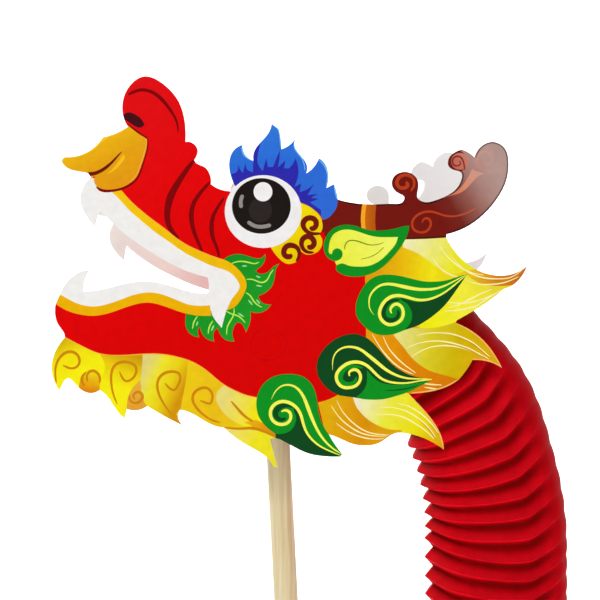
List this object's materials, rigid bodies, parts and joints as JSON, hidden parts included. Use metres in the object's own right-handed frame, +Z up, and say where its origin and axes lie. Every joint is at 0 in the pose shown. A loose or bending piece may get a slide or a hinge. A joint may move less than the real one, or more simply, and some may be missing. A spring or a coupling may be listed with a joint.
{
  "type": "paper dragon dance toy",
  "caption": "Hand-held paper dragon: flat printed head cards on a wooden stick, a pleated accordion paper body, and tail cards on a second stick.",
  "frame": {"origin": "centre of the lower end of the head stick", "axes": "+Z up, the dragon looks along -X and its body leaves towards +X, +Y is its right side; the body bends in the plane Y = 0"},
  "size_m": [0.5024, 0.077, 0.4221],
  "materials": {
    "stick_wood": "bare light softwood dowel, satin",
    "printed_card": "coated card, printed red, yellow, green, blue and brown outside, unprinted off-white inside",
    "plain_card": "unprinted off-white folded card",
    "pleated_paper": "thin dyed red paper, matt with a soft sheen, accordion pleated"
  },
  "bodies": {
    "head": {"head_stick": "stick_wood", "head_bridge": "plain_card", "left_head_card": "printed_card", "right_head_card": "printed_card", "neck_disc": "plain_card", "bellows_01": "pleated_paper"},
    "body_02": {"bellows_02": "pleated_paper"},
    "body_03": {"bellows_03": "pleated_paper"},
    "body_04": {"bellows_04": "pleated_paper"},
    "body_05": {"bellows_05": "pleated_paper"},
    "body_06": {"bellows_06": "pleated_paper"},
    "body_07": {"bellows_07": "pleated_paper"},
    "body_08": {"bellows_08": "pleated_paper"},
    "body_09": {"bellows_09": "pleated_paper"},
    "body_10": {"bellows_10": "pleated_paper"},
    "body_11": {"bellows_11": "pleated_paper"},
    "body_12": {"bellows_12": "pleated_paper"},
    "body_13": {"bellows_13": "pleated_paper"},
    "body_14": {"bellows_14": "pleated_paper"},
    "tail": {"bellows_15": "pleated_paper", "tail_disc": "plain_card", "tail_bridge": "plain_card", "left_tail_card": "printed_card", "right_tail_card": "printed_card", "tail_stick": "stick_wood"}
  },
  "joints": [
    {"name": "body_curl", "type": "hinge", "parent": "head", "child": "body_02", "pos_m": [0.07054, 0, 0.27563], "axis": [0, 1, 0], "range_deg": [-5, 8]},
    {"name": "body_stretch", "type": "slide", "parent": "body_02", "child": "body_03", "axis": [0.4617, 0, -0.887], "range_m": [-0.005, 0.012]},
    {"name": "body_sway", "type": "hinge", "parent": "body_03", "child": "body_04", "pos_m": [0.10347, 0, 0.21238], "axis": [0.9713, 0, 0.2377], "range_deg": [-7, 7]},
    {"name": "curl_04", "type": "hinge", "parent": "body_04", "child": "body_05", "pos_m": [0.10776, 0, 0.17673], "axis": [0, 1, 0], "range_deg": [-5, 8]},
    {"name": "stretch_05", "type": "slide", "parent": "body_05", "child": "body_06", "axis": [0, 0, -1], "range_m": [-0.005, 0.012]},
    {"name": "sway_06", "type": "hinge", "parent": "body_06", "child": "body_07", "pos_m": [0.10776, 0, 0.11173], "axis": [1, 0, 0], "range_deg": [-7, 7]},
    {"name": "curl_07", "type": "hinge", "parent": "body_07", "child": "body_08", "pos_m": [0.1147, 0, 0.08135], "axis": [0, 1, 0], "range_deg": [-5, 8]},
    {"name": "stretch_08", "type": "slide", "parent": "body_08", "child": "body_09", "axis": [0.7818, 0, -0.6235], "range_m": [-0.005, 0.012]},
    {"name": "sway_09", "type": "hinge", "parent": "body_09", "child": "body_10", "pos_m": [0.16219, 0, 0.04348], "axis": [0.2225, 0, 0.9749], "range_deg": [-7, 7]},
    {"name": "curl_10", "type": "hinge", "parent": "body_10", "child": "body_11", "pos_m": [0.19334, 0, 0.04348], "axis": [0, 1, 0], "range_deg": [-5, 8]},
    {"name": "stretch_11", "type": "slide", "parent": "body_11", "child": "body_12", "axis": [0.7818, 0, 0.6235], "range_m": [-0.005, 0.012]},
    {"name": "sway_12", "type": "hinge", "parent": "body_12", "child": "body_13", "pos_m": [0.24083, 0, 0.08135], "axis": [-0.901, 0, 0.4339], "range_deg": [-7, 7]},
    {"name": "curl_13", "type": "hinge", "parent": "body_13", "child": "body_14", "pos_m": [0.24776, 0, 0.11173], "axis": [0, 1, 0], "range_deg": [-5, 8]},
    {"name": "sway_14", "type": "hinge", "parent": "body_14", "child": "tail", "pos_m": [0.2544, 0, 0.14935], "axis": [-0.9397, 0, 0.342], "range_deg": [-7, 7]}
  ],
  "couplings": [
    {"joint": "curl_04", "follows": "body_curl", "ratio": 1},
    {"joint": "stretch_05", "follows": "body_stretch", "ratio": 1},
    {"joint": "sway_06", "follows": "body_sway", "ratio": 1},
    {"joint": "curl_07", "follows": "body_curl", "ratio": 1},
    {"joint": "stretch_08", "follows": "body_stretch", "ratio": 1},
    {"joint": "sway_09", "follows": "body_sway", "ratio": 1},
    {"joint": "curl_10", "follows": "body_curl", "ratio": 1},
    {"joint": "stretch_11", "follows": "body_stretch", "ratio": 1},
    {"joint": "sway_12", "follows": "body_sway", "ratio": 1},
    {"joint": "curl_13", "follows": "body_curl", "ratio": 1},
    {"joint": "sway_14", "follows": "body_sway", "ratio": 1}
  ]
}
